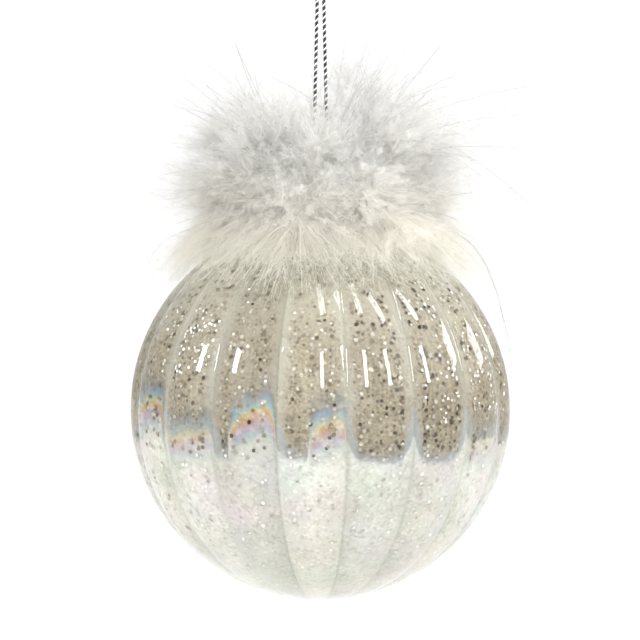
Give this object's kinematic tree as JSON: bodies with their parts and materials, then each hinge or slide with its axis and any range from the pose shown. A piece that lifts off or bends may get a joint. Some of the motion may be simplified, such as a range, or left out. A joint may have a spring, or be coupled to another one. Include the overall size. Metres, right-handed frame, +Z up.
{
  "type": "glass ball ornament",
  "caption": "Fluted glass ball ornament with glitter inside, a metal cap with a spring clip, a white feather collar and a looped metallic hanging cord.",
  "frame": {"origin": "where the two strands of the hanging cord enter the knot, under which a hook holds the loop", "axes": "+Z up along the hanging cord and the ball's axis, -Y towards the viewer, +X to the viewer's right"},
  "size_m": [0.0798, 0.0797, 0.1435],
  "materials": {
    "glass": "gloss",
    "glitter": "gloss",
    "pearl": "satin",
    "cap_metal": "satin",
    "wire": "polished",
    "cord": "satin",
    "core_cord": "matte",
    "glue": "gloss",
    "feather": "matte",
    "quill": "matte"
  },
  "bodies": {
    "cord": {"hanging_cord": "cord", "cord_knot": "cord", "cord_tails": "cord"},
    "clip": {"spring_clip": "wire"},
    "cap": {"cap_shell": "cap_metal", "collar_core": "core_cord", "glue_bead": "glue", "collar_knot": "core_cord", "plume_right": "feather", "plume_back_right": "feather", "plume_back": "feather", "plume_back_left": "feather", "plume_left": "feather", "plume_front_left": "feather", "plume_front": "feather", "plume_front_right": "feather", "quill_right": "quill", "quill_back_right": "quill", "quill_back": "quill", "quill_back_left": "quill", "quill_left": "quill", "quill_front_left": "quill", "quill_front": "quill", "quill_front_right": "quill"},
    "ball": {"glass_ball": "glass", "glitter_coat": "glitter", "pearl_coat": "pearl"}
  },
  "joints": [
    {"name": "eye_swing", "type": "hinge", "parent": "cord", "child": "clip", "pos_m": [0, 0, -0.0379], "axis": [0, 1, 0], "range_deg": [-20, 20]},
    {"name": "clip_slide", "type": "slide", "parent": "clip", "child": "cap", "axis": [0, 0, 1], "range_m": [0, 0.0025]},
    {"name": "cap_pull", "type": "slide", "parent": "cap", "child": "ball", "axis": [0, 0, -1], "range_m": [0, 0.022]}
  ]
}
